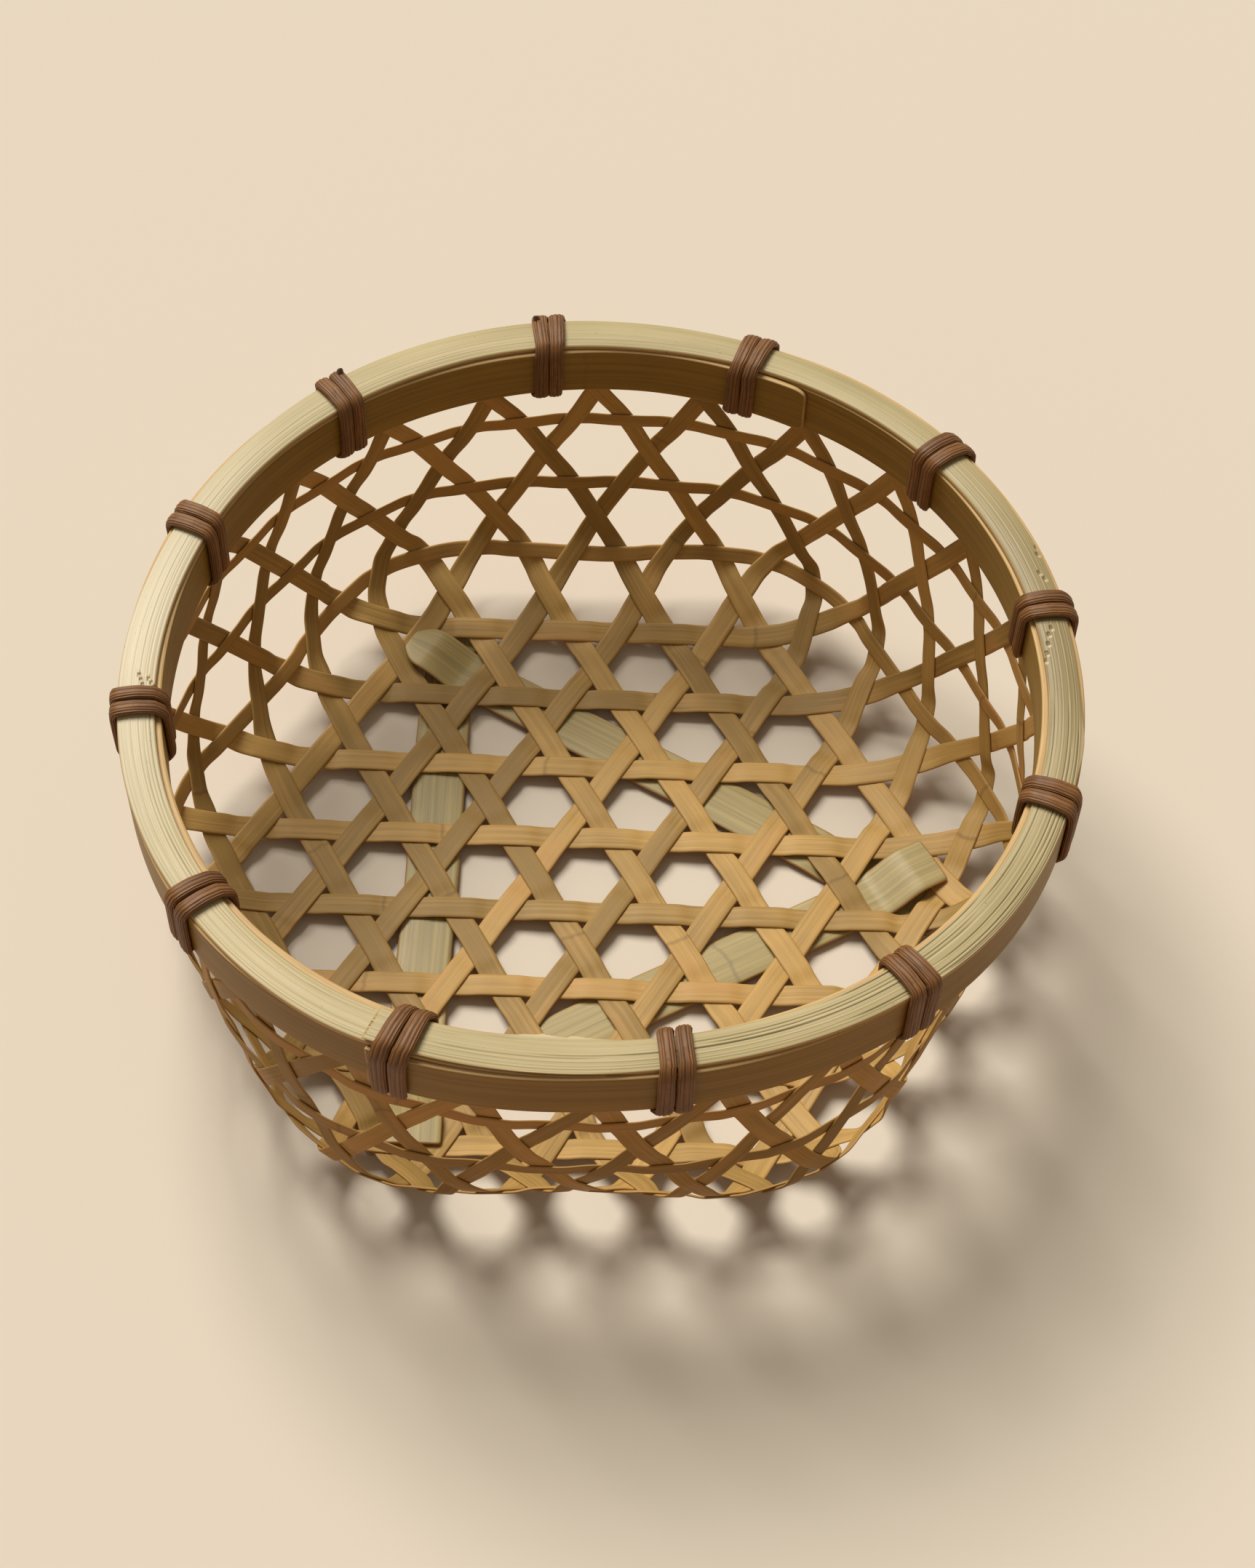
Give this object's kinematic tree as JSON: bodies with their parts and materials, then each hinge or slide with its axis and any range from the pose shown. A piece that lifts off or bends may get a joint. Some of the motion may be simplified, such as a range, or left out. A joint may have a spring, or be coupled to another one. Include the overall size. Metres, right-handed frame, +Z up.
{
  "type": "bamboo basket",
  "caption": "Round open basket of split bamboo in hexagonal weave, with a six-sided bottom, a doubled hoop rim bound with dark vine and wide braces under the bottom.",
  "frame": {"origin": "on the surface it stands on, below the middle of the rim", "axes": "+Z up through the open top; -Y towards the camera of the picture, +X to its right"},
  "size_m": [0.2508, 0.2492, 0.1067],
  "materials": {
    "split_bamboo": "satin",
    "level_bamboo": "satin",
    "hoop_bamboo": "satin",
    "cover_bamboo": "satin",
    "brace_bamboo": "satin",
    "brown_vine": "satin"
  },
  "bodies": {
    "root": {"strip_a1": "split_bamboo", "strip_a2": "split_bamboo", "strip_a3": "split_bamboo", "strip_a4": "split_bamboo", "strip_a5": "split_bamboo", "strip_a6": "split_bamboo", "strip_a7": "split_bamboo", "strip_a8": "split_bamboo", "strip_b1": "split_bamboo", "strip_b2": "split_bamboo", "strip_b3": "split_bamboo", "strip_b4": "split_bamboo", "strip_b5": "split_bamboo", "strip_b6": "split_bamboo", "strip_b7": "split_bamboo", "strip_b8": "split_bamboo", "strip_c1": "split_bamboo", "strip_c2": "split_bamboo", "strip_c3": "split_bamboo", "strip_c4": "split_bamboo", "strip_c5": "split_bamboo", "strip_c6": "split_bamboo", "strip_c7": "split_bamboo", "strip_c8": "split_bamboo", "level_strip_1": "level_bamboo", "level_strip_2": "level_bamboo", "level_strip_3": "level_bamboo", "brace_1": "brace_bamboo", "brace_2": "brace_bamboo", "brace_3": "brace_bamboo", "inner_hoop": "hoop_bamboo", "outer_hoop": "hoop_bamboo", "rim_cover": "cover_bamboo", "lashing_01": "brown_vine", "lashing_02": "brown_vine", "lashing_03": "brown_vine", "lashing_04": "brown_vine", "lashing_05": "brown_vine", "lashing_06": "brown_vine", "lashing_07": "brown_vine", "lashing_08": "brown_vine", "lashing_09": "brown_vine", "lashing_10": "brown_vine", "lashing_11": "brown_vine", "lashing_12": "brown_vine"}
  },
  "joints": []
}
